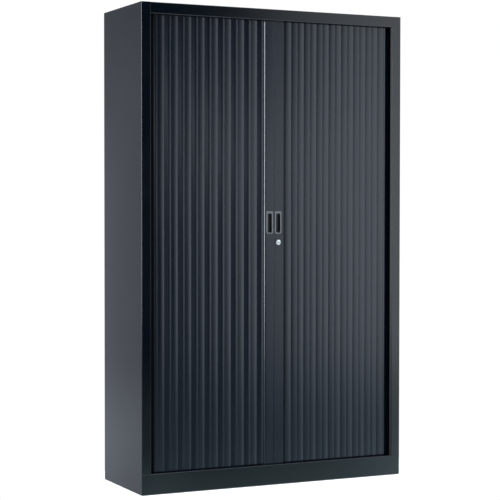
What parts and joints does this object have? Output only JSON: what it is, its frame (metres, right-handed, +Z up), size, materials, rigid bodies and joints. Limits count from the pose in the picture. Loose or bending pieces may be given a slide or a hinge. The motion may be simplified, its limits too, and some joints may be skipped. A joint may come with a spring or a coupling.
{
  "type": "tambour door cabinet",
  "caption": "Tall sheet-steel cabinet with ribbed tambour curtains sliding apart into its sides, recessed grips, a central lock, levelling feet and hooked-in shelves.",
  "frame": {"origin": "on the floor, under the middle of the cabinet's footprint", "axes": "+X to the right along the front, +Y from the front to the back, +Z up"},
  "size_m": [1.2, 0.43, 1.98],
  "materials": {
    "shell_paint": "anthracite powder coat, fine texture, satin",
    "inner_paint": "anthracite powder coat, fine texture, satin",
    "slat_pvc": "extruded PVC, black, satin gloss",
    "lead_pvc": "extruded PVC, black, satin gloss",
    "moulded_black": "moulded, satin",
    "track_plastic": "moulded, matt",
    "zinc": "zinc plated",
    "foot_zinc": "zinc plated",
    "lock_chrome": "nickel plated, polished"
  },
  "bodies": {
    "cabinet": {"left_side_panel": "shell_paint", "right_side_panel": "shell_paint", "top_panel": "shell_paint", "front_plinth": "shell_paint", "base_pan": "shell_paint", "back_panel": "shell_paint", "left_liner": "inner_paint", "right_liner": "inner_paint", "inner_back_panel": "inner_paint", "bottom_shelf": "inner_paint", "shelf_1": "inner_paint", "shelf_2": "inner_paint", "shelf_3": "inner_paint", "shelf_4": "inner_paint", "left_front_upright": "zinc", "left_rear_upright": "zinc", "right_front_upright": "zinc", "right_rear_upright": "zinc", "left_top_track": "track_plastic", "left_bottom_track": "track_plastic", "right_top_track": "track_plastic", "right_bottom_track": "track_plastic", "left_slat_01": "slat_pvc", "left_slat_02": "slat_pvc", "left_slat_03": "slat_pvc", "left_slat_04": "slat_pvc", "left_slat_05": "slat_pvc", "left_slat_06": "slat_pvc", "left_slat_07": "slat_pvc", "left_slat_08": "slat_pvc", "left_slat_09": "slat_pvc", "right_slat_01": "slat_pvc", "right_slat_02": "slat_pvc", "right_slat_03": "slat_pvc", "right_slat_04": "slat_pvc", "right_slat_05": "slat_pvc", "right_slat_06": "slat_pvc", "right_slat_07": "slat_pvc", "right_slat_08": "slat_pvc", "right_slat_09": "slat_pvc"},
    "left_curtain": {"left_lead_slat": "slat_pvc", "left_lead_profile": "lead_pvc", "left_handle_cup": "moulded_black", "left_top_runner": "track_plastic", "left_bottom_runner": "track_plastic", "lock_strike": "zinc"},
    "right_curtain": {"right_lead_slat": "slat_pvc", "right_lead_profile": "lead_pvc", "right_handle_cup": "moulded_black", "right_top_runner": "track_plastic", "right_bottom_runner": "track_plastic", "lock_body": "lock_chrome", "lock_ring": "zinc"},
    "lock": {"lock_barrel": "lock_chrome", "lock_hook": "zinc"},
    "front_left_foot": {"foot_front_left": "foot_zinc"},
    "front_right_foot": {"foot_front_right": "foot_zinc"},
    "rear_left_foot": {"foot_rear_left": "foot_zinc"},
    "rear_right_foot": {"foot_rear_right": "foot_zinc"}
  },
  "joints": [
    {"name": "left_curtain_slide", "type": "slide", "parent": "cabinet", "child": "left_curtain", "axis": [-1, 0, 0], "range_m": [0, 0.5], "deforming": ["left_slat_01", "left_slat_02", "left_slat_03", "left_slat_04", "left_slat_05", "left_slat_06", "left_slat_07", "left_slat_08", "left_slat_09"]},
    {"name": "right_curtain_slide", "type": "slide", "parent": "cabinet", "child": "right_curtain", "axis": [1, 0, 0], "range_m": [0, 0.5], "deforming": ["right_slat_01", "right_slat_02", "right_slat_03", "right_slat_04", "right_slat_05", "right_slat_06", "right_slat_07", "right_slat_08", "right_slat_09"]},
    {"name": "lock_turn", "type": "hinge", "parent": "right_curtain", "child": "lock", "pos_m": [0.0195, -0.19, 1.014], "axis": [0, -1, 0], "range_deg": [0, 90]},
    {"name": "front_left_foot_turn", "type": "hinge", "parent": "cabinet", "child": "front_left_foot", "pos_m": [-0.52, -0.146, 0.03], "axis": [0, 0, 1], "continuous": true},
    {"name": "front_right_foot_turn", "type": "hinge", "parent": "cabinet", "child": "front_right_foot", "pos_m": [0.52, -0.146, 0.03], "axis": [0, 0, 1], "continuous": true},
    {"name": "rear_left_foot_turn", "type": "hinge", "parent": "cabinet", "child": "rear_left_foot", "pos_m": [-0.52, 0.146, 0.03], "axis": [0, 0, 1], "continuous": true},
    {"name": "rear_right_foot_turn", "type": "hinge", "parent": "cabinet", "child": "rear_right_foot", "pos_m": [0.52, 0.146, 0.03], "axis": [0, 0, 1], "continuous": true}
  ]
}
